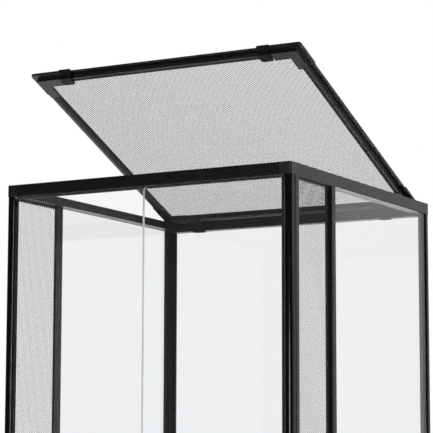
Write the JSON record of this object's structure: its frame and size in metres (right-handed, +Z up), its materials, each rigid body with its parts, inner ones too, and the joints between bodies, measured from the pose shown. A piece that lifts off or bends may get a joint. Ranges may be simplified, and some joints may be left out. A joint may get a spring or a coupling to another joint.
{
  "type": "terrarium cabinet",
  "caption": "Tall framed terrarium cabinet with clear walls, mesh side bays, two clear front doors and a hinged mesh lid that stands raised.",
  "frame": {"origin": "middle of the whole outline, knobs included, on the surface it stands on", "axes": "+X to the right seen from the front, +Y to the back, +Z up"},
  "size_m": [0.45, 0.464, 1.0689],
  "materials": {
    "frame_metal": "black anodised, satin",
    "black_plastic": "moulded, fine grained",
    "clear_acrylic": "clear acrylic sheet, polished edges",
    "perforated_sheet": "black perforated sheet",
    "floor_sheet": "hard foam sheet",
    "rubber": "moulded",
    "steel": "zinc plated"
  },
  "bodies": {
    "frame": {"top_rail_front": "frame_metal", "top_rail_back": "frame_metal", "top_rail_left": "frame_metal", "top_rail_right": "frame_metal", "bottom_rail_front": "frame_metal", "bottom_rail_back": "frame_metal", "bottom_rail_left": "frame_metal", "bottom_rail_right": "frame_metal", "post_front_left": "frame_metal", "post_front_right": "frame_metal", "post_back_left": "frame_metal", "post_back_right": "frame_metal", "mullion_left": "frame_metal", "mullion_right": "frame_metal", "top_corner_front_left": "black_plastic", "top_corner_front_right": "black_plastic", "top_corner_back_left": "black_plastic", "top_corner_back_right": "black_plastic", "bottom_corner_front_left": "black_plastic", "bottom_corner_front_right": "black_plastic", "bottom_corner_back_left": "black_plastic", "bottom_corner_back_right": "black_plastic", "side_panel_left": "clear_acrylic", "side_panel_right": "clear_acrylic", "back_panel": "clear_acrylic", "floor_panel": "floor_sheet", "mesh_rim_left": "frame_metal", "mesh_rim_right": "frame_metal", "mesh_sheet_left": "perforated_sheet", "mesh_sheet_right": "perforated_sheet", "feet": "rubber", "catch_magnets": "steel", "hinge_plate_left": "black_plastic", "hinge_plate_right": "black_plastic", "hinge_pins": "steel"},
    "lid": {"lid_rail_front": "frame_metal", "lid_rail_back": "frame_metal", "lid_rail_left": "frame_metal", "lid_rail_right": "frame_metal", "lid_corner_front_left": "black_plastic", "lid_corner_front_right": "black_plastic", "lid_corner_back_left": "black_plastic", "lid_corner_back_right": "black_plastic", "lid_mesh": "perforated_sheet", "lid_spline": "rubber", "lid_clip_left": "black_plastic", "lid_clip_right": "black_plastic", "lid_knuckle_left": "black_plastic", "lid_knuckle_right": "black_plastic"},
    "door_left": {"door_left_panel": "clear_acrylic", "door_left_pins": "steel", "door_left_knob": "black_plastic", "door_left_screw": "steel", "door_left_strike": "steel"},
    "door_right": {"door_right_panel": "clear_acrylic", "door_right_pins": "steel", "door_right_knob": "black_plastic", "door_right_screw": "steel", "door_right_strike": "steel"}
  },
  "joints": [
    {"name": "lid_hinge", "type": "hinge", "parent": "frame", "child": "lid", "pos_m": [0, 0.205, 0.8945], "axis": [-1, 0, 0], "range_deg": [-23.6, 71.4]},
    {"name": "door_left_hinge", "type": "hinge", "parent": "frame", "child": "door_left", "pos_m": [-0.2122, -0.216, 0.45], "axis": [0, 0, -1], "range_deg": [0, 100]},
    {"name": "door_right_hinge", "type": "hinge", "parent": "frame", "child": "door_right", "pos_m": [0.2122, -0.216, 0.45], "axis": [0, 0, 1], "range_deg": [0, 100]}
  ]
}
